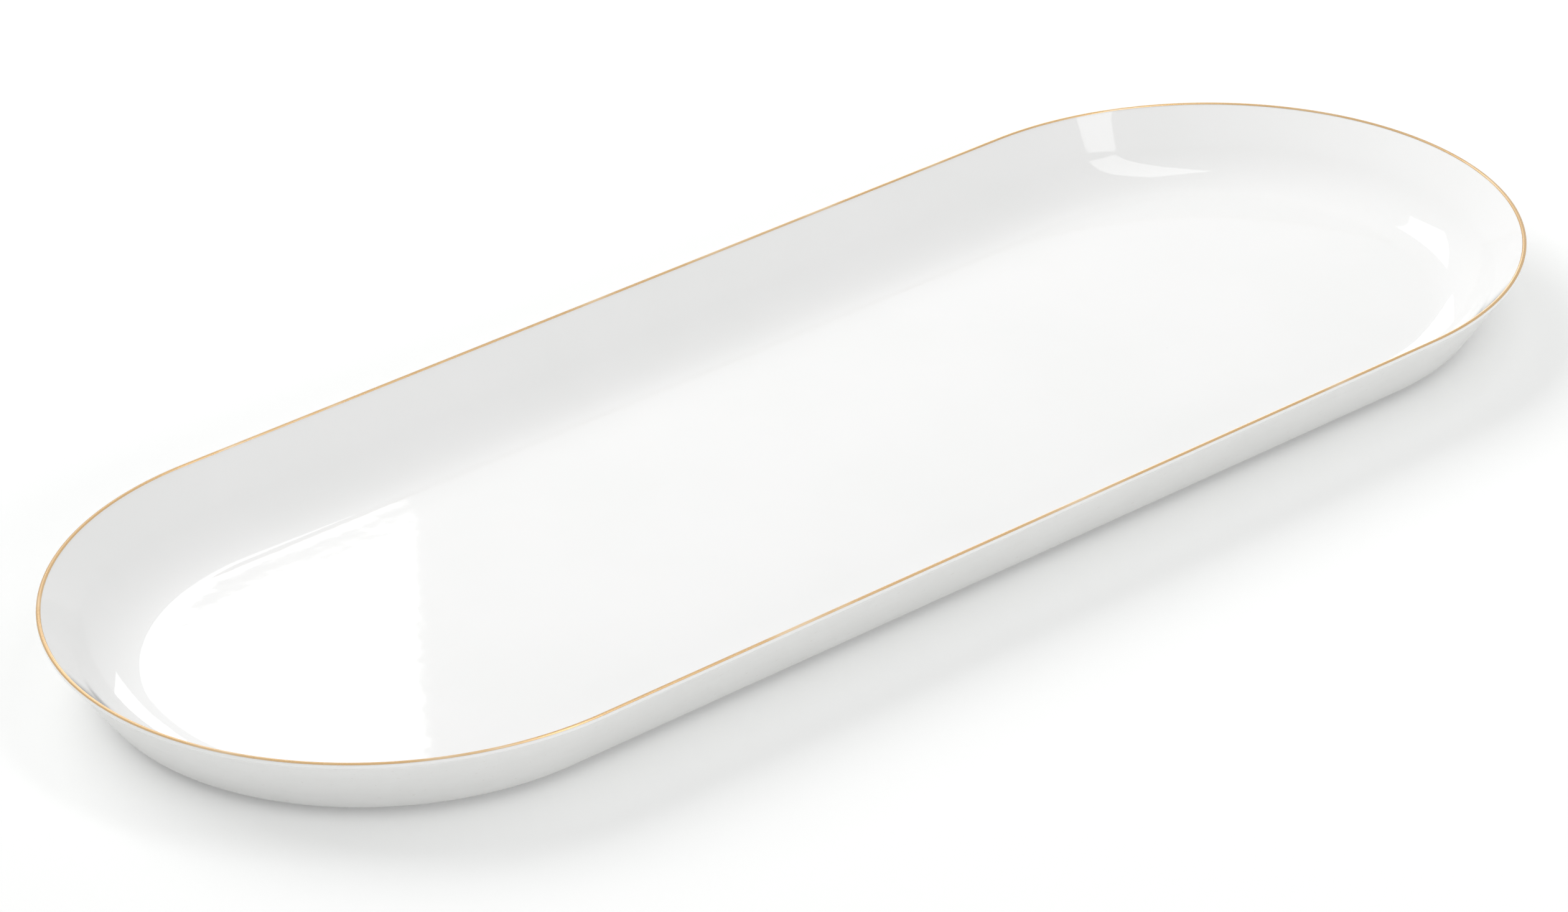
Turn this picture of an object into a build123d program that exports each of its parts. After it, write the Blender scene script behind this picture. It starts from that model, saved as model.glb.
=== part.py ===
from build123d import *

import math
import os

# China serving platter: an oblong tray with half-round ends, fired as one thin clay shell.
# Origin at the middle of the face that it rests on, +X along its length, +Z up. Millimetres.

# ---- Driving dimensions ------------------------------------------------------------------
overall_length = 500.0
overall_width = 190.0
overall_height = 25.5

# Clay shell. Its thicknesses take in the glaze that lies on its inside.
floor_thickness = 3.4
wall_thickness = 3.4          # at the foot of the wall, square to its outer face
wall_flare = 15.2             # how far the lip stands out past the wall's bottom corner
cove_radius = 24.0            # inside, where the floor sweeps up into the wall
bottom_edge_radius = 6.0      # outside, where the wall turns under
lip_thickness = 1.5           # the lip is a full round of this thickness

# Foot ring, a low ridge of bare clay set in from the wall.
foot_height = 2.2
foot_width = 3.2
foot_inset = 12.0             # from the wall's bottom corner to the ring's outer side
foot_edge_radius = 0.7

# Glaze over the inside and the lip, and the gold line fired on top of it.
glaze_thickness = 0.25
glaze_lap = 0.5               # how far the glaze runs down outside, below the round of the lip
gold_thickness = 0.10
gold_width = 1.25             # measured around the crest of the lip

# ---- Sizes that follow from them ---------------------------------------------------------
end_radius = overall_width / 2
half_run = (overall_length - overall_width) / 2     # centre of the platter to the centre of an end

# The section is drawn in (r, z): r is the distance out from the centre line of the platter,
# or from the centre of an end, and z is the height above the table.
lip_radius = lip_thickness / 2
bare_lip_radius = lip_radius - glaze_thickness
lip_centre = Vector(end_radius - lip_radius, overall_height - gold_thickness - lip_radius)
outer_corner = Vector(end_radius - wall_flare, foot_height)
floor_top = foot_height + floor_thickness


def tangent_angle(corner, radius, side):
    """Slope, in radians, of the line from a corner that touches a round about the lip's centre.

    side is 1 for the line that passes on the inside of the lip and -1 for the outside.
    """
    run = lip_centre - corner
    return math.atan2(run.Y, run.X) + side * math.asin(radius / run.length)


def outward(angle, radius):
    """Step of a length square to a line of that slope, down and away from the well."""
    return Vector(radius * math.sin(angle), -radius * math.cos(angle))


outer_slope = tangent_angle(outer_corner, bare_lip_radius, -1)
outer_r_at_floor_top = outer_corner.X + floor_thickness / math.tan(outer_slope)
inner_corner = Vector(outer_r_at_floor_top - wall_thickness / math.sin(outer_slope), floor_top)
inner_slope = tangent_angle(inner_corner, lip_radius, 1)

cove_centre = Vector(
    inner_corner.X - cove_radius * math.tan(inner_slope / 2),
    floor_top + cove_radius,
)


# ---- Sections ----------------------------------------------------------------------------
def inside_line(depth):
    """Edges of the inside surface, or of one that depth below it, from the centre to the crest."""
    sweep = cove_radius + depth
    round_lip = lip_radius - depth
    floor_edge = cove_centre + outward(0, sweep)
    cove_top = cove_centre + outward(inner_slope, sweep)
    lip_start = lip_centre - outward(inner_slope, round_lip)
    crest = lip_centre - outward(0, round_lip)
    return [
        Line(Vector(0, floor_edge.Y), floor_edge),
        ThreePointArc(floor_edge, cove_centre + outward(inner_slope / 2, sweep), cove_top),
        Line(cove_top, lip_start),
        ThreePointArc(lip_start, lip_centre - outward(inner_slope / 2, round_lip), crest),
    ]


def lip_outside(depth):
    """Arc of the lip from its crest to where it runs into the outer face of the wall."""
    round_lip = lip_radius - depth
    crest = lip_centre - outward(0, round_lip)
    middle = lip_centre + outward((outer_slope + math.pi) / 2, round_lip)
    return ThreePointArc(crest, middle, lip_centre + outward(outer_slope, round_lip))


def body_section():
    """Bare clay: underside, rounded bottom edge, outer face, lip and inside."""
    reach = bottom_edge_radius * math.tan(outer_slope / 2)
    turn_centre = outer_corner + Vector(-reach, bottom_edge_radius)
    turn_start = turn_centre + outward(0, bottom_edge_radius)
    turn_middle = turn_centre + outward(outer_slope / 2, bottom_edge_radius)
    turn_end = turn_centre + outward(outer_slope, bottom_edge_radius)
    lip = lip_outside(glaze_thickness)
    underside_middle = Vector(0, foot_height)
    inside = inside_line(glaze_thickness)
    return [
        Line(underside_middle, turn_start),
        ThreePointArc(turn_start, turn_middle, turn_end),
        Line(turn_end, lip @ 1),
        lip,
        *inside,
        Line(inside[0] @ 0, underside_middle),
    ]


def glaze_section():
    """Coat of glaze: on the floor, the cove and the wall, over the lip and a little way down."""
    over = lip_outside(0)
    under = lip_outside(glaze_thickness)
    down = Vector(-math.cos(outer_slope), -math.sin(outer_slope)) * glaze_lap
    lap_face = over @ 1 + down
    lap_back = under @ 1 + down
    bead = (lap_face + lap_back) / 2 + down.normalized() * (glaze_thickness / 2)
    face = inside_line(0)
    back = inside_line(glaze_thickness)
    return [
        *face,
        over,
        Line(over @ 1, lap_face),
        ThreePointArc(lap_face, bead, lap_back),
        Line(lap_back, under @ 1),
        under,
        *back,
        Line(back[0] @ 0, face[0] @ 0),
    ]


def gold_section():
    """Gold line: a thin band that follows the round of the lip, evenly about its crest."""
    half_angle = gold_width / 2 / lip_radius
    face_radius = lip_radius + gold_thickness
    ends = [math.pi - half_angle, math.pi, math.pi + half_angle]
    face = [lip_centre + outward(angle, face_radius) for angle in ends]
    back = [lip_centre + outward(angle, lip_radius) for angle in ends]
    return [
        ThreePointArc(*face),
        Line(face[-1], back[-1]),
        ThreePointArc(*back),
        Line(back[0], face[0]),
    ]


def foot_section():
    """Foot ring: a flat-bottomed ridge with rounded edges, square where it joins the shell."""
    outer = outer_corner.X - foot_inset
    inner = outer - foot_width
    ridge = Polygon((inner, 0), (outer, 0), (outer, foot_height), (inner, foot_height), align=None)
    treads = ridge.vertices().sort_by(Axis.Y)[:2]
    return fillet(treads, foot_edge_radius).face()


# ---- Solids ------------------------------------------------------------------------------
def filled(edges):
    """Face inside a closed run of edges."""
    return Face(Wire(edges))


def oblong(section):
    """Solid of one section carried along both long sides and round both half-round ends."""
    across = Plane.YZ * section
    straight = extrude(across, amount=half_run, dir=(1, 0, 0), both=True)
    end_axis = Axis((half_run, 0, 0), (0, 0, -1))
    end = revolve(Pos(half_run, 0, 0) * across, axis=end_axis, revolution_arc=180)
    sides = straight + mirror(straight, about=Plane.XZ)
    return (sides + end + mirror(end, about=Plane.YZ)).solid()


nodes = {
    "porcelain_body": oblong(filled(body_section())),
    "foot_ring": oblong(foot_section()),
    "glaze_lining": oblong(filled(glaze_section())),
    "gold_rim_line": oblong(filled(gold_section())),
}

os.makedirs("parts", exist_ok=True)
for name, solid in nodes.items():
    export_step(solid, f"parts/{name}.step")
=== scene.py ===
import math

import bpy
from bpy.props import FloatProperty, FloatVectorProperty, IntProperty, PointerProperty
from mathutils import Matrix, Vector


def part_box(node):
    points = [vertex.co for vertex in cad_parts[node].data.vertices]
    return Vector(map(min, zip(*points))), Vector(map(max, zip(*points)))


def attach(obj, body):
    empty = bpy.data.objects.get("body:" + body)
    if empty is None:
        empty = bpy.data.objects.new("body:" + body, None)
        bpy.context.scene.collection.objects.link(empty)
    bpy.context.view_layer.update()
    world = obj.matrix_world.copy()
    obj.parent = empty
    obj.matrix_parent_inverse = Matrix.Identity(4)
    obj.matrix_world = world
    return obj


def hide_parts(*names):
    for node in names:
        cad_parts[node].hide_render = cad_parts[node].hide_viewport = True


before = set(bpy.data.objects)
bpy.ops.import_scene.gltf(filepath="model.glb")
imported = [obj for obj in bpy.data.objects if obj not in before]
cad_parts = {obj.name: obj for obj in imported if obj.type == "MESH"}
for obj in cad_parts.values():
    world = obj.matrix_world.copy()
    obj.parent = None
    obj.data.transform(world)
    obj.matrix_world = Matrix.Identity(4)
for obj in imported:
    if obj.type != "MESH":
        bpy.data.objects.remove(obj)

bl_info = {
    "name": "China serving platter",
    "version": (1, 0, 0),
    "blender": (4, 5, 0),
    "location": "3D View > Sidebar > Platter",
    "description": "Models an oblong china platter with a glazed well and a gold line on its lip",
    "category": "Add Mesh",
}

BODY_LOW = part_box("porcelain_body")[0]
GLAZE_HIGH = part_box("glaze_lining")[1]
GOLD_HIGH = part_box("gold_rim_line")[1]
FOOT_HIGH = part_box("foot_ring")[1]

MM = 0.001

# Faces along each stretch of the sections.
FLOOR_STEPS = 10
COVE_STEPS = 26
WALL_INSIDE_STEPS = 6
WALL_OUTSIDE_STEPS = 8
BOTTOM_EDGE_STEPS = 12
LIP_OUTSIDE_STEPS = 7
LIP_INSIDE_STEPS = 9
LIP_BACK_STEPS = 12
GOLD_STEPS = 14
LAP_STEPS = 2
SMALL_ROUND_STEPS = 6

SEED_SIZE = 2.0 * MM  # side of the plane that is merged into a section's first point
JOIN_GAP = 1e-7  # closes a section
WELD_GAP = 2e-6  # closes a shell once the section has been carried round it

GLAZE_IOR = 1.52
CLAY_IOR = 1.48


# ---- Settings ----------------------------------------------------------------------------
def length(name, description, default, **more):
    """A length in metres, as the panel shows it."""
    return FloatProperty(
        name=name, description=description, default=default,
        unit="LENGTH", subtype="DISTANCE", precision=5, **more,
    )


def angle(name, description, degrees):
    """An angle, given here in degrees."""
    return FloatProperty(
        name=name, description=description, default=math.radians(degrees),
        unit="ROTATION", subtype="ANGLE",
    )


def colour(name, description, default):
    """A linear colour."""
    return FloatVectorProperty(
        name=name, description=description, default=default,
        subtype="COLOR", size=3, min=0.0, max=1.0,
    )


def share(name, description, default):
    """A share from 0 to 1."""
    return FloatProperty(
        name=name, description=description, default=default,
        subtype="FACTOR", min=0.0, max=1.0,
    )


def radiance(name, description, default):
    """A lamp's brightness, 1 being white."""
    return FloatProperty(name=name, description=description, default=default, min=0.0)


class PlatterShape(bpy.types.PropertyGroup):
    """Sizes of the platter's section and outline."""

    end_radius: length("End radius", "Centre of a half-round end to its outer side", GLAZE_HIGH.y)
    half_run: length(
        "Half run", "Centre of the platter to the centre of an end",
        GLAZE_HIGH.x - GLAZE_HIGH.y,
    )
    foot_height: length("Foot height", "Table to the underside", BODY_LOW.z)
    rim_height: length("Rim height", "Table to the crest of the glazed lip", GLAZE_HIGH.z)
    floor_thickness: length("Floor", "Thickness of the floor with its glaze", 3.4 * MM)
    wall_thickness: length("Wall", "Thickness of the wall at its foot", 3.4 * MM)
    wall_flare: length("Flare", "How far the lip stands out past the wall's foot", 15.2 * MM)
    cove_radius: length("Cove", "Round between the floor and the wall", 24.0 * MM)
    bottom_edge_radius: length("Bottom edge", "Round where the wall turns under", 6.0 * MM)
    lip_thickness: length("Lip", "Thickness of the lip, a full round", 1.5 * MM)
    glaze_thickness: length("Glaze", "Thickness of the coat of glaze", 0.25 * MM)
    glaze_lap: length("Lap", "How far the glaze runs down outside", 0.5 * MM)
    gold_thickness: length("Gold", "Thickness of the gold line", GOLD_HIGH.z - GLAZE_HIGH.z)
    gold_width: length("Gold width", "Width of the gold line round the lip", 1.25 * MM)
    foot_outer: length("Foot outside", "Radius of the foot ring's outer side", FOOT_HIGH.y)
    foot_width: length("Foot width", "Width of the foot ring", 3.2 * MM)
    foot_edge: length("Foot edge", "Round along the edges of the foot ring's tread", 0.7 * MM)
    foot_fillet: length(
        "Foot fillet", "Hollow where the foot ring runs into the underside", 0.9 * MM
    )
    end_steps: IntProperty(
        name="End steps", description="Faces round each half-round end", default=112, min=24
    )
    run_steps: IntProperty(
        name="Run steps", description="Faces along each straight side", default=40, min=4
    )


class PlatterFinish(bpy.types.PropertyGroup):
    """Colours and roughness of the platter's finishes."""

    glaze_colour: colour("Glaze", "White glaze where it is thin", (0.90, 0.90, 0.895))
    glaze_pooled: colour(
        "Pooled glaze", "White glaze where it lies thicker", (0.885, 0.888, 0.88)
    )
    pinhole_colour: colour("Pinhole", "Clay showing in a pinhole", (0.55, 0.52, 0.47))
    biscuit_colour: colour("Biscuit", "Bare fired clay", (0.87, 0.87, 0.86))
    biscuit_shade: colour("Biscuit shade", "Darker clouds in the bare clay", (0.85, 0.85, 0.838))
    speck_colour: colour("Speck", "Fine specks in the bare clay", (0.60, 0.57, 0.52))
    foot_colour: colour("Ground clay", "Clay ground bare on the foot", (0.72, 0.70, 0.665))
    foot_shade: colour("Handled clay", "Where the foot has picked up grey", (0.60, 0.585, 0.56))
    grit_colour: colour("Grit", "Grit ground into the tread", (0.50, 0.48, 0.45))
    gold_colour: colour("Gold", "Burnished gold", (0.60, 0.40, 0.20))
    gold_thin: colour("Thin gold", "Gold where the brush ran dry", (0.70, 0.55, 0.38))
    glaze_roughness: share("Glaze roughness", "Roughness of the glaze", 0.025)
    biscuit_roughness: share("Biscuit roughness", "Roughness of the bare clay", 0.62)


class StudioSettings(bpy.types.PropertyGroup):
    """Camera, lamps and floor."""

    azimuth: angle("Azimuth", "Camera's turn about the table, 0 along +Y", -39.583)
    elevation: angle("Elevation", "Camera's height above the horizon", 28.238)
    roll: angle("Roll", "Camera's roll", -1.809)
    distance: length("Distance", "Camera to the table's centre", 1.79346)
    aim_right: length("Aim right", "Camera's offset to its right", -0.010159)
    aim_up: length("Aim up", "Camera's offset upwards", 0.006830)
    focal_length: FloatProperty(
        name="Focal length", description="Focal length in millimetres",
        default=142.947, unit="CAMERA",
    )
    key_turn: angle("Key turn", "Key lamp's bearing, 0 behind the platter", -15.0)
    key_height: angle("Key height", "Key lamp's height above the horizon", 44.0)
    key_distance: length("Key distance", "Key lamp to the table's centre", 2.0)
    key_width: length("Key width", "Width of the key lamp", 1.80)
    key_tall: length("Key tall", "Height of the key lamp", 1.45)
    key_radiance: radiance("Key radiance", "Brightness of the key lamp", 2.9)
    fill_turn: angle("Fill turn", "Fill lamp's bearing, 180 in front of the platter", 185.0)
    fill_height: angle("Fill height", "Fill lamp's height above the horizon", 17.0)
    fill_distance: length("Fill distance", "Fill lamp to the table's centre", 2.2)
    fill_width: length("Fill width", "Width of the fill lamp", 3.0)
    fill_tall: length("Fill tall", "Height of the fill lamp", 0.9)
    fill_radiance: radiance("Fill radiance", "Brightness of the fill lamp", 1.5)
    card_right: length("Card right", "Right edge of the lit card behind the platter", 1.075)
    card_back: length("Card back", "How far behind the platter's centre the card stands", 1.700)
    card_low: length("Card low", "Height of the card's lower edge", 1.114)
    card_width: length("Card width", "Width of the card", 0.90)
    card_tall: length("Card tall", "Height of the card", 0.66)
    low_turn: angle("Low card turn", "Bearing of the low card", 42.0)
    low_height: angle("Low card height", "Height of the low card above the horizon", 11.5)
    low_distance: length("Low card distance", "Low card to the table's centre", 2.5)
    low_width: length("Low card width", "Width of the low card", 0.52)
    low_tall: length("Low card tall", "Height of the low card", 1.00)
    card_radiance: radiance("Card radiance", "Brightness of both lit cards", 1.7)
    strip_right: length("Strip right", "Ceiling strip's place along the platter", 0.33)
    strip_front: length("Strip front", "How far in front the ceiling strip hangs", 0.45)
    strip_up: length("Strip up", "Height of the ceiling strip", 1.1)
    strip_width: length("Strip width", "Width of the ceiling strip", 0.24)
    strip_run: length("Strip run", "Length of the ceiling strip, front to back", 1.05)
    strip_radiance: radiance("Strip radiance", "Brightness of the ceiling strip", 2.3)
    sky_colour: colour("Sky", "Light from all round", (1.0, 1.0, 1.0))
    sky_strength: radiance("Sky strength", "Brightness of the light from all round", 0.52)
    floor_radius: length("Floor radius", "Radius of the round floor", 4.0)
    floor_border: length("Floor border", "Width of the floor's outer ring of faces", 1.0)
    floor_colour: colour("Floor", "Pale floor", (0.90, 0.905, 0.90))
    floor_lift: radiance("Floor lift", "Brightness that the seen floor gains", 0.145)


def settings():
    """The three groups of settings."""
    scene = bpy.context.scene
    return scene.platter_shape, scene.platter_finish, scene.platter_studio


# ---- Drawing sections and sweeping them --------------------------------------------------
def deselect_objects():
    """Leaves object mode with nothing selected."""
    if bpy.context.object and bpy.context.object.mode != "OBJECT":
        bpy.ops.object.mode_set(mode="OBJECT")
    bpy.ops.object.select_all(action="DESELECT")


def slope_step(slope, radius):
    """Step of a length in (r, z) square to a line of that slope, down and out of the well."""
    return Vector((radius * math.sin(slope), -radius * math.cos(slope)))


class Section:
    """A section drawn stroke by stroke in the plane through the centre of the right end.

    A point is (r, z): r is the distance out from the end's centre and z the height.
    """

    def __init__(self, name, start):
        self.half_run = settings()[0].half_run
        deselect_objects()
        bpy.ops.mesh.primitive_plane_add(size=SEED_SIZE, location=self.place(start))
        self.object = bpy.context.object
        self.object.name = name
        self.object.data.name = name
        bpy.ops.object.mode_set(mode="EDIT")
        bpy.ops.mesh.select_mode(type="VERT")
        bpy.ops.mesh.select_all(action="SELECT")
        bpy.ops.mesh.merge(type="CENTER")
        self.at = Vector(start)

    def place(self, point):
        """Where a point of the section lies in the frame."""
        return Vector((self.half_run, -point[0], point[1]))

    def line(self, to, steps=1):
        """Extrudes the section's last point in a straight line."""
        to = Vector(to)
        step = (to - self.at) / steps
        for _ in range(steps):
            bpy.ops.mesh.extrude_region_move(
                TRANSFORM_OT_translate={"value": (0.0, -step.x, step.y)}
            )
        self.at = to

    def arc(self, centre, to, steps, turn):
        """Spins the section's last point about a centre, to a point on the same round.

        turn is 1 where the arc runs anticlockwise in (r, z) and -1 where it runs clockwise.
        """
        centre, to = Vector(centre), Vector(to)
        first, last = self.at - centre, to - centre
        swing = math.atan2(last.y, last.x) - math.atan2(first.y, first.x)
        swing = turn * ((turn * swing) % (2 * math.pi))
        bpy.ops.mesh.spin(
            steps=steps, angle=swing, center=self.place(centre), axis=(1.0, 0.0, 0.0),
            use_auto_merge=False,
        )
        self.at = to

    def close(self):
        """Joins the section's last point to its first."""
        bpy.ops.mesh.select_all(action="SELECT")
        bpy.ops.mesh.remove_doubles(threshold=JOIN_GAP)

    def sweep(self, steps_round, steps_along):
        """Carries the section round both ends and along both sides, and closes the shell."""
        run = 2 * self.half_run / steps_along
        bpy.ops.mesh.select_all(action="SELECT")
        for side in (1, -1):
            bpy.ops.mesh.spin(
                steps=steps_round, angle=math.pi, center=(side * self.half_run, 0.0, 0.0),
                axis=(0.0, 0.0, -1.0), use_auto_merge=False,
            )
            for _ in range(steps_along):
                bpy.ops.mesh.extrude_region_move(
                    TRANSFORM_OT_translate={"value": (-side * run, 0.0, 0.0)}
                )
        bpy.ops.mesh.select_all(action="SELECT")
        bpy.ops.mesh.remove_doubles(threshold=WELD_GAP)
        bpy.ops.mesh.normals_make_consistent(inside=False)


def finish_piece(piece, node, material, smooth_angle):
    """Settles a piece at the origin, shades it, and lets it stand for its CAD node."""
    bpy.ops.object.mode_set(mode="OBJECT")
    deselect_objects()
    piece.select_set(True)
    bpy.context.view_layer.objects.active = piece
    bpy.ops.object.transform_apply(location=True, rotation=True, scale=True)
    bpy.ops.object.shade_smooth_by_angle(angle=math.radians(smooth_angle))
    piece.data.materials.clear()
    piece.data.materials.append(material)
    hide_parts(node)
    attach(piece, "root")


class SectionLines:
    """Corners, slopes and centres that the platter's sections share, as (r, z) points."""

    def __init__(self, shape):
        self.shape = shape
        self.lip_radius = shape.lip_thickness / 2
        self.lip_centre = Vector((
            shape.end_radius - self.lip_radius, shape.rim_height - self.lip_radius
        ))
        self.outer_corner = Vector((shape.end_radius - shape.wall_flare, shape.foot_height))
        self.floor_top = shape.foot_height + shape.floor_thickness
        bare_lip = self.lip_radius - shape.glaze_thickness
        self.outer_slope = self.tangent(self.outer_corner, bare_lip, -1)
        inner_r = (
            self.outer_corner.x
            + shape.floor_thickness / math.tan(self.outer_slope)
            - shape.wall_thickness / math.sin(self.outer_slope)
        )
        self.inner_slope = self.tangent(Vector((inner_r, self.floor_top)), self.lip_radius, 1)
        self.cove_centre = Vector((
            inner_r - shape.cove_radius * math.tan(self.inner_slope / 2),
            self.floor_top + shape.cove_radius,
        ))

    def tangent(self, corner, radius, side):
        """Slope of the line from a corner that touches a round about the lip's centre."""
        run = self.lip_centre - corner
        return math.atan2(run.y, run.x) + side * math.asin(radius / run.length)

    def crest(self, depth):
        """Top of the lip, that depth below its glazed surface."""
        return self.lip_centre + Vector((0.0, self.lip_radius - depth))

    def lip_inside(self, depth):
        """Where the lip's round runs into the inside of the wall."""
        return self.lip_centre - slope_step(self.inner_slope, self.lip_radius - depth)

    def lip_outside(self, depth):
        """Where the lip's round runs into the outer face of the wall."""
        return self.lip_centre + slope_step(self.outer_slope, self.lip_radius - depth)

    def cove_ends(self, depth):
        """Where the cove's round meets the wall and where it meets the floor."""
        radius = self.shape.cove_radius + depth
        wall_end = self.cove_centre + slope_step(self.inner_slope, radius)
        floor_end = self.cove_centre + slope_step(0.0, radius)
        return wall_end, floor_end

    def draw_inside(self, section, depth):
        """Draws the inside surface, from the crest down the wall and the cove to the centre."""
        cove_top, floor_edge = self.cove_ends(depth)
        section.arc(self.lip_centre, self.lip_inside(depth), LIP_INSIDE_STEPS, 1)
        section.line(cove_top, WALL_INSIDE_STEPS)
        section.arc(self.cove_centre, floor_edge, COVE_STEPS, -1)
        section.line((0.0, floor_edge.y), FLOOR_STEPS)


# ---- Materials ---------------------------------------------------------------------------
class Value:
    """A shader socket whose sums are Math nodes, so that 1 - mask works."""

    def __init__(self, finish, socket):
        self.finish = finish
        self.socket = socket

    def maths(self, operation, first, second):
        """The two values taken together in one Math node."""
        return self.finish.add(
            "ShaderNodeMath", {"operation": operation}, {0: first, 1: second}
        )["Value"]

    def __add__(self, other):
        return self.maths("ADD", self, other)

    def __radd__(self, other):
        return self.maths("ADD", other, self)

    def __sub__(self, other):
        return self.maths("SUBTRACT", self, other)

    def __rsub__(self, other):
        return self.maths("SUBTRACT", other, self)

    def __mul__(self, other):
        return self.maths("MULTIPLY", self, other)

    def smooth(self, low, high):
        """0 below one value and 1 above the other, with a soft step between."""
        options = {"interpolation_type": "SMOOTHSTEP"}
        inputs = {"Value": self, "From Min": low, "From Max": high}
        return self.finish.add("ShaderNodeMapRange", options, inputs)["Result"]

    def highest(self, other):
        """The larger of the two values."""
        return self.maths("MAXIMUM", self, other)


class Added:
    """A node just added; its outputs are read by name."""

    def __init__(self, finish, node):
        self.finish = finish
        self.node = node

    def __getitem__(self, name):
        return Value(self.finish, self.node.outputs[name])


class Finish:
    """A node tree being built."""

    def __init__(self, tree, datablock=None):
        self.tree = tree
        self.datablock = datablock
        tree.nodes.clear()

    @classmethod
    def material(cls, name):
        """A new material's tree."""
        made = bpy.data.materials.new(name)
        made.use_nodes = True
        return cls(made.node_tree, made)

    def add(self, kind, options=None, inputs=None):
        """Adds a node: its options first, then the values or links of its sockets."""
        node = self.tree.nodes.new(kind)
        for name, value in (options or {}).items():
            setattr(node, name, value)
        for name, value in (inputs or {}).items():
            socket = node.inputs[name]
            if isinstance(value, Value):
                self.tree.links.new(value.socket, socket)
            elif socket.type == "RGBA":
                socket.default_value = (*value[:3], 1.0)
            else:
                socket.default_value = value
        return Added(self, node)

    def place(self, scale=(1.0, 1.0, 1.0)):
        """Object coordinates, scaled."""
        at = self.add("ShaderNodeTexCoord")["Object"]
        return self.add(
            "ShaderNodeMapping", {"vector_type": "POINT"},
            {"Vector": at, "Scale": scale},
        )["Vector"]

    def noise(self, place, scale, detail=2.0, roughness=0.5, distortion=0.0):
        """Soft noise; scale counts its lumps per metre."""
        return self.add("ShaderNodeTexNoise", {}, {
            "Vector": place, "Scale": scale, "Detail": detail,
            "Roughness": roughness, "Distortion": distortion,
        })["Fac"]

    def height(self, place):
        """Height above the table."""
        return self.add("ShaderNodeSeparateXYZ", {}, {"Vector": place})["Z"]

    def mix(self, factor, first, second):
        """A colour between two others."""
        node = self.add(
            "ShaderNodeMix", {"data_type": "RGBA", "blend_type": "MIX"}, {"Factor": factor}
        ).node
        for index, value in ((6, first), (7, second)):
            if isinstance(value, Value):
                self.tree.links.new(value.socket, node.inputs[index])
            else:
                node.inputs[index].default_value = (*value[:3], 1.0)
        return Value(self, node.outputs[2])

    def bump(self, height, distance, normal=None):
        """A relief of that height in metres."""
        inputs = {"Height": height, "Distance": distance, "Strength": 1.0}
        if normal is not None:
            inputs["Normal"] = normal
        return self.add("ShaderNodeBump", {}, inputs)["Normal"]

    def surface(self, inputs):
        """Ends the tree in one principled surface."""
        shader = self.add("ShaderNodeBsdfPrincipled", {}, inputs)
        self.add("ShaderNodeOutputMaterial", {}, {"Surface": shader["BSDF"]})
        return self.datablock


def glaze_material(finish):
    """Clear white glaze: a gloss with slow waves, a faint skin of ripples and pooled clouds."""
    made = Finish.material("White glaze")
    place = made.place()
    waves = made.noise(place, scale=11.0, detail=1.0, roughness=0.4)
    ripples = made.noise(place, scale=90.0, detail=2.0, roughness=0.5)
    clouds = made.noise(place, scale=16.0, detail=3.0, roughness=0.55)
    pinholes = made.add(
        "ShaderNodeTexVoronoi", {"feature": "F1"}, {"Vector": place, "Scale": 55.0}
    )
    spots = 1.0 - pinholes["Distance"].smooth(0.010, 0.022)
    chosen = made.noise(place, scale=23.0, detail=1.0).smooth(0.64, 0.66)
    pits = spots * chosen
    pooled = made.mix(clouds.smooth(0.35, 0.7), finish.glaze_colour, finish.glaze_pooled)
    tint = made.mix(pits * 0.12, pooled, finish.pinhole_colour)
    on_wall = made.height(place).smooth(8.0 * MM, 16.0 * MM)
    slow = made.bump(waves * (0.15 + on_wall * 0.85), 0.9 * MM)
    skin = made.bump(ripples - pits * 0.8, 0.02 * MM, slow)
    return made.surface({
        "Base Color": tint,
        "Roughness": finish.glaze_roughness + clouds * 0.02 + pits * 0.2,
        "IOR": GLAZE_IOR,
        "Normal": skin,
    })


def biscuit_material(finish):
    """Bare fired clay: a fine dry grain, soft clouds and faint wiping marks along the wall."""
    made = Finish.material("Bare biscuit")
    place = made.place()
    stretched = made.place(scale=(1.0, 1.0, 6.0))
    clouds = made.noise(place, scale=22.0, detail=4.0, roughness=0.6)
    wiped = made.noise(stretched, scale=60.0, detail=3.0, roughness=0.6, distortion=0.4)
    grain = made.noise(place, scale=1900.0, detail=3.0, roughness=0.65)
    specks = made.noise(place, scale=700.0, detail=2.0, roughness=0.5).smooth(0.68, 0.76)
    shade = (clouds * 0.65 + wiped * 0.35).smooth(0.36, 0.66)
    base = made.mix(shade, finish.biscuit_shade, finish.biscuit_colour)
    tint = made.mix(specks * 0.25, base, finish.speck_colour)
    relief = made.bump(wiped, 0.12 * MM)
    dry = made.bump(grain, 0.03 * MM, relief)
    return made.surface({
        "Base Color": tint,
        "Roughness": finish.biscuit_roughness + grain * 0.12 - clouds * 0.05,
        "IOR": CLAY_IOR,
        "Normal": dry,
    })


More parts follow.
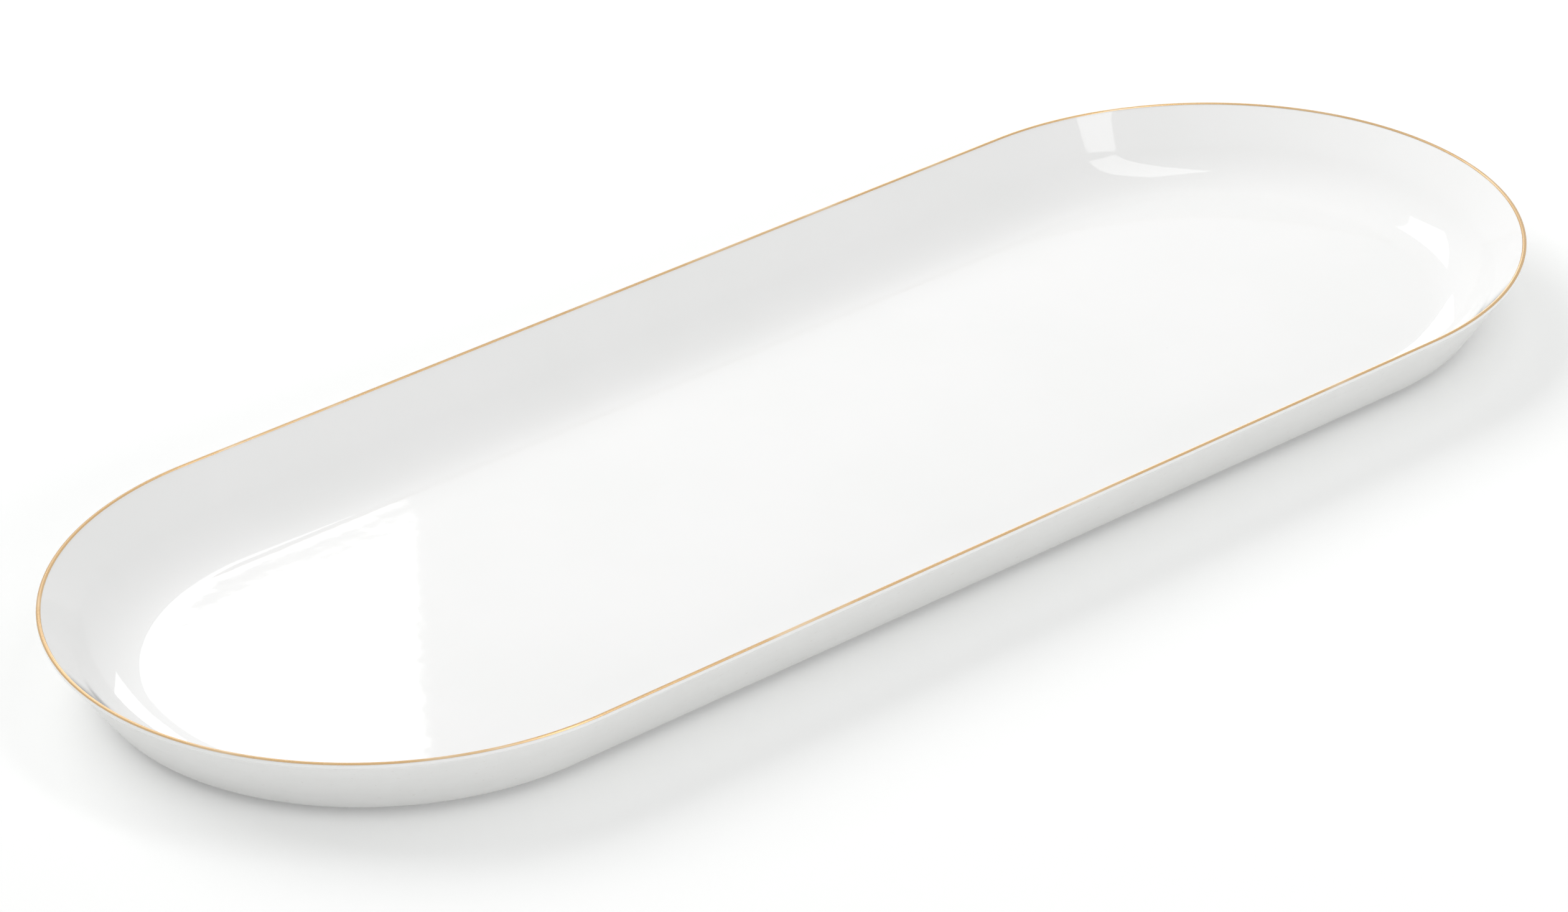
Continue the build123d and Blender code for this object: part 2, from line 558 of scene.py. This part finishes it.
def foot_material(finish):
    """Ground clay: paler where it was ground flat, grey where it has been handled."""
    made = Finish.material("Ground foot clay")
    place = made.place()
    blotches = made.noise(place, scale=35.0, detail=4.0, roughness=0.65)
    grit = made.noise(place, scale=1400.0, detail=3.0, roughness=0.7)
    drawn_out = made.place(scale=(1.0, 9.0, 1.0))
    scratches = made.noise(drawn_out, scale=420.0, detail=2.0, roughness=0.6, distortion=0.6)
    tread = 1.0 - made.height(place).smooth(0.02 * MM, 0.4 * MM)
    worn = made.mix(blotches.smooth(0.35, 0.7), finish.foot_colour, finish.foot_shade)
    tint = made.mix(tread * (grit.smooth(0.4, 0.62) * 0.5), worn, finish.grit_colour)
    rough = made.bump(grit + scratches * 0.6, 0.05 * MM)
    return made.surface({
        "Base Color": tint,
        "Roughness": 0.72 + grit * 0.15 - tread * 0.1,
        "IOR": CLAY_IOR,
        "Normal": rough,
    })


def gold_material(finish):
    """Burnished gold put on with a brush: bright, and thinner here and there."""
    made = Finish.material("Burnished gold line")
    place = made.place()
    strokes = made.noise(place, scale=130.0, detail=3.0, roughness=0.6, distortion=0.5)
    thin = made.noise(place, scale=38.0, detail=2.0, roughness=0.5).smooth(0.52, 0.72)
    fine = made.noise(place, scale=2600.0, detail=2.0, roughness=0.5)
    tint = made.mix(thin * 0.7 + strokes * 0.2, finish.gold_colour, finish.gold_thin)
    skin = made.bump(strokes + fine * 0.15, 0.04 * MM)
    return made.surface({
        "Base Color": tint,
        "Metallic": 1.0 - thin * 0.12,
        "Roughness": 0.20 + strokes * 0.14 + thin * 0.06,
        "Normal": skin,
    })


# ---- Pieces ------------------------------------------------------------------------------
class PLATTER_OT_body(bpy.types.Operator):
    """Model the bare clay shell"""

    bl_idname = "platter.body"
    bl_label = "Clay shell"

    def execute(self, context):
        shape, finish, _ = settings()
        lines = SectionLines(shape)
        depth = shape.glaze_thickness
        turn_centre = lines.outer_corner + Vector((
            -shape.bottom_edge_radius * math.tan(lines.outer_slope / 2),
            shape.bottom_edge_radius,
        ))
        turn_start = turn_centre + slope_step(0.0, shape.bottom_edge_radius)
        turn_end = turn_centre + slope_step(lines.outer_slope, shape.bottom_edge_radius)
        section = Section("platter_body", (0.0, shape.foot_height))
        section.line(turn_start, FLOOR_STEPS)
        section.arc(turn_centre, turn_end, BOTTOM_EDGE_STEPS, 1)
        section.line(lines.lip_outside(depth), WALL_OUTSIDE_STEPS)
        section.arc(lines.lip_centre, lines.crest(depth), LIP_OUTSIDE_STEPS, 1)
        lines.draw_inside(section, depth)
        section.sweep(shape.end_steps, shape.run_steps)
        finish_piece(
            section.object, "porcelain_body", biscuit_material(finish),
            smooth_angle=40,
        )
        return {"FINISHED"}


class PLATTER_OT_glaze(bpy.types.Operator):
    """Model the coat of glaze over the inside and the lip"""

    bl_idname = "platter.glaze"
    bl_label = "Glaze"

    def execute(self, context):
        shape, finish, _ = settings()
        lines = SectionLines(shape)
        depth = shape.glaze_thickness
        up_wall = Vector((math.cos(lines.outer_slope), math.sin(lines.outer_slope)))
        down = -shape.glaze_lap * up_wall
        lap_face = lines.lip_outside(0.0) + down
        lap_back = lines.lip_outside(depth) + down
        cove_top, floor_edge = lines.cove_ends(depth)
        section = Section("platter_glaze", (0.0, lines.floor_top - depth))
        section.line(floor_edge, FLOOR_STEPS)
        section.arc(lines.cove_centre, cove_top, COVE_STEPS, 1)
        section.line(lines.lip_inside(depth), WALL_INSIDE_STEPS)
        section.arc(lines.lip_centre, lines.lip_outside(depth), LIP_BACK_STEPS, -1)
        section.line(lap_back, LAP_STEPS)
        section.arc((lap_face + lap_back) / 2, lap_face, SMALL_ROUND_STEPS, 1)
        section.line(lines.lip_outside(0.0), LAP_STEPS)
        section.arc(lines.lip_centre, lines.crest(0.0), LIP_INSIDE_STEPS, 1)
        lines.draw_inside(section, 0.0)
        section.sweep(shape.end_steps, shape.run_steps)
        finish_piece(
            section.object, "glaze_lining", glaze_material(finish), smooth_angle=60
        )
        return {"FINISHED"}


class PLATTER_OT_gold(bpy.types.Operator):
    """Model the gold line round the lip"""

    bl_idname = "platter.gold"
    bl_label = "Gold line"

    def execute(self, context):
        shape, finish, _ = settings()
        lines = SectionLines(shape)
        half_turn = shape.gold_width / 2 / lines.lip_radius
        face = lines.lip_radius + shape.gold_thickness

        def on_lip(turn, radius):
            """A point of that radius about the lip, turned from its crest."""
            return lines.lip_centre + slope_step(math.pi + turn, radius)

        section = Section("gold_line", on_lip(-half_turn, lines.lip_radius))
        section.line(on_lip(-half_turn, face))
        section.arc(lines.lip_centre, on_lip(half_turn, face), GOLD_STEPS, 1)
        section.line(on_lip(half_turn, lines.lip_radius))
        section.arc(lines.lip_centre, on_lip(-half_turn, lines.lip_radius), GOLD_STEPS, -1)
        section.close()
        section.sweep(shape.end_steps, shape.run_steps)
        finish_piece(
            section.object, "gold_rim_line", gold_material(finish), smooth_angle=50
        )
        return {"FINISHED"}


class PLATTER_OT_foot(bpy.types.Operator):
    """Model the foot ring under the floor"""

    bl_idname = "platter.foot"
    bl_label = "Foot ring"

    def execute(self, context):
        shape, finish, _ = settings()
        outer = shape.foot_outer
        inner = outer - shape.foot_width
        edge = shape.foot_edge
        fillet = shape.foot_fillet
        top = shape.foot_height
        section = Section("foot_ring_piece", (inner - fillet, top))
        round_steps = SMALL_ROUND_STEPS
        section.arc((inner - fillet, top - fillet), (inner, top - fillet), round_steps, -1)
        section.line((inner, edge))
        section.arc((inner + edge, edge), (inner + edge, 0.0), round_steps, 1)
        section.line((outer - edge, 0.0), 3)
        section.arc((outer - edge, edge), (outer, edge), round_steps, 1)
        section.line((outer, top - fillet))
        section.arc((outer + fillet, top - fillet), (outer + fillet, top), round_steps, -1)
        section.line((inner - fillet, top), 4)
        section.close()
        section.sweep(shape.end_steps, shape.run_steps)
        finish_piece(
            section.object, "foot_ring", foot_material(finish), smooth_angle=40
        )
        return {"FINISHED"}


# ---- Stage -------------------------------------------------------------------------------
def camera_axes(studio):
    """The camera's right, up and backward directions."""
    turn, height, roll = studio.azimuth, studio.elevation, studio.roll
    back = Vector((
        math.sin(turn) * math.cos(height),
        -math.cos(turn) * math.cos(height),
        math.sin(height),
    ))
    right = (-back).cross(Vector((0.0, 0.0, 1.0))).normalized()
    up = right.cross(-back)
    rolled_right = math.cos(roll) * right + math.sin(roll) * up
    rolled_up = math.cos(roll) * up - math.sin(roll) * right
    return rolled_right, rolled_up, back


def way(turn, height):
    """Direction of a bearing, from +Y towards +X, and a height above the horizon."""
    return Vector((
        math.sin(turn) * math.cos(height), math.cos(turn) * math.cos(height), math.sin(height)
    ))


def soft_box(name, centre, facing, width, tall, radiance, glossy=True):
    """A rectangular lamp that faces the way given; glossy says whether a gloss mirrors it."""
    away = -Vector(facing).normalized()
    bpy.ops.object.light_add(
        type="AREA", location=centre, rotation=away.to_track_quat("Z", "Y").to_euler()
    )
    lamp = bpy.context.object
    lamp.name = name
    lamp.data.name = name
    lamp.data.shape = "RECTANGLE"
    lamp.data.size = width
    lamp.data.size_y = tall
    lamp.data.energy = radiance * math.pi * width * tall
    lamp.visible_glossy = glossy
    return lamp


def seen(finish):
    """1 for rays that show the background: from the camera, in a gloss and through glass."""
    path = finish.add("ShaderNodeLightPath")
    shown = path["Is Camera Ray"].highest(path["Is Glossy Ray"])
    return shown.highest(path["Is Transmission Ray"])


def set_floor(studio):
    """A round pale floor, a little brighter where it is seen than where it lights."""
    bpy.ops.mesh.primitive_circle_add(
        vertices=96, radius=studio.floor_radius, fill_type="NGON"
    )
    floor = bpy.context.object
    floor.name = "studio_floor"
    bpy.ops.object.mode_set(mode="EDIT")
    bpy.ops.mesh.select_all(action="SELECT")
    bpy.ops.mesh.inset(thickness=studio.floor_border, depth=0.0)
    bpy.ops.object.mode_set(mode="OBJECT")
    made = Finish.material("Pale studio floor")
    paper = made.noise(made.place(), scale=260.0, detail=3.0)
    pale = Vector(studio.floor_colour)
    matt = made.add("ShaderNodeBsdfDiffuse", {}, {
        "Color": made.mix(paper, tuple(pale * 0.995), tuple(pale)), "Roughness": 0.5,
    })
    lift = made.add("ShaderNodeEmission", {}, {"Strength": seen(made) * studio.floor_lift})
    both = made.add("ShaderNodeAddShader", {}, {0: matt["BSDF"], 1: lift["Emission"]})
    made.add("ShaderNodeOutputMaterial", {}, {"Surface": both["Shader"]})
    floor.data.materials.append(made.datablock)


def set_air(studio):
    """Light from all round, shown as plain white to the camera and in a gloss."""
    world = bpy.data.worlds.new("Studio air")
    bpy.context.scene.world = world
    world.use_nodes = True
    air = Finish(world.node_tree)
    around = air.add("ShaderNodeBackground", {}, {
        "Color": studio.sky_colour, "Strength": studio.sky_strength,
    })
    white = air.add("ShaderNodeBackground", {}, {"Color": (1.0, 1.0, 1.0), "Strength": 1.0})
    shown = air.add(
        "ShaderNodeMixShader", {},
        {"Fac": seen(air), 1: around["Background"], 2: white["Background"]},
    )
    air.add("ShaderNodeOutputWorld", {}, {"Surface": shown["Shader"]})


def set_lamps(studio):
    """Key, fill, two lit cards behind the platter and a strip over its front."""
    key_way = way(studio.key_turn, studio.key_height)
    soft_box(
        "key_soft_box", key_way * studio.key_distance, -key_way,
        studio.key_width, studio.key_tall, studio.key_radiance, glossy=False,
    )
    fill_way = way(studio.fill_turn, studio.fill_height)
    soft_box(
        "front_fill", fill_way * studio.fill_distance, -fill_way,
        studio.fill_width, studio.fill_tall, studio.fill_radiance, glossy=False,
    )
    card_centre = (
        studio.card_right - studio.card_width / 2,
        studio.card_back,
        studio.card_low + studio.card_tall / 2,
    )
    soft_box(
        "back_card", card_centre, (0.0, -1.0, 0.0),
        studio.card_width, studio.card_tall, studio.card_radiance,
    )
    low_way = way(studio.low_turn, studio.low_height)
    soft_box(
        "low_card", low_way * studio.low_distance, -low_way,
        studio.low_width, studio.low_tall, studio.card_radiance,
    )
    strip_centre = (studio.strip_right, -studio.strip_front, studio.strip_up)
    soft_box(
        "ceiling_strip", strip_centre, (0.0, 0.0, -1.0),
        studio.strip_width, studio.strip_run, studio.strip_radiance,
    )


def set_camera(studio):
    """The camera, aimed close to the table's centre."""
    right, up, back = camera_axes(studio)
    aim = right * studio.aim_right + up * studio.aim_up
    turned = Matrix((right, up, back)).transposed()
    bpy.ops.object.camera_add(
        location=aim + back * studio.distance, rotation=turned.to_euler()
    )
    camera = bpy.context.object
    camera.name = "studio_camera"
    camera.data.sensor_width = 36.0
    camera.data.lens = studio.focal_length
    camera.data.dof.use_dof = False
    camera.data.clip_start, camera.data.clip_end = 0.05, 50.0
    bpy.context.scene.camera = camera


class PLATTER_OT_stage(bpy.types.Operator):
    """Set out the floor, the lamps and the camera"""

    bl_idname = "platter.stage"
    bl_label = "Stage"

    def execute(self, context):
        studio = settings()[2]
        deselect_objects()
        set_floor(studio)
        set_air(studio)
        set_lamps(studio)
        set_camera(studio)
        bpy.context.scene.view_settings.view_transform = "Standard"
        return {"FINISHED"}


class PLATTER_PT_panel(bpy.types.Panel):
    """Lists the platter's pieces and settings"""

    bl_idname = "PLATTER_PT_panel"
    bl_label = "China platter"
    bl_space_type = "VIEW_3D"
    bl_region_type = "UI"
    bl_category = "Platter"

    def draw(self, context):
        for step in STEPS:
            self.layout.operator(step.bl_idname)
        for group in settings():
            box = self.layout.box()
            for name in group.bl_rna.properties.keys():
                if name not in {"rna_type", "name"}:
                    box.prop(group, name)


GROUPS = {
    "platter_shape": PlatterShape,
    "platter_finish": PlatterFinish,
    "platter_studio": StudioSettings,
}
STEPS = (
    PLATTER_OT_stage,
    PLATTER_OT_body,
    PLATTER_OT_foot,
    PLATTER_OT_glaze,
    PLATTER_OT_gold,
)


def register():
    for name, group in GROUPS.items():
        bpy.utils.register_class(group)
        setattr(bpy.types.Scene, name, PointerProperty(type=group))
    for step in (*STEPS, PLATTER_PT_panel):
        bpy.utils.register_class(step)


def unregister():
    for step in reversed((*STEPS, PLATTER_PT_panel)):
        bpy.utils.unregister_class(step)
    for name, group in reversed(GROUPS.items()):
        delattr(bpy.types.Scene, name)
        bpy.utils.unregister_class(group)


def main():
    """Builds the platter."""
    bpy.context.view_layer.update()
    register()
    bpy.ops.platter.stage()
    bpy.ops.platter.body()
    bpy.ops.platter.foot()
    bpy.ops.platter.glaze()
    bpy.ops.platter.gold()


if __name__ == "__main__":
    main()
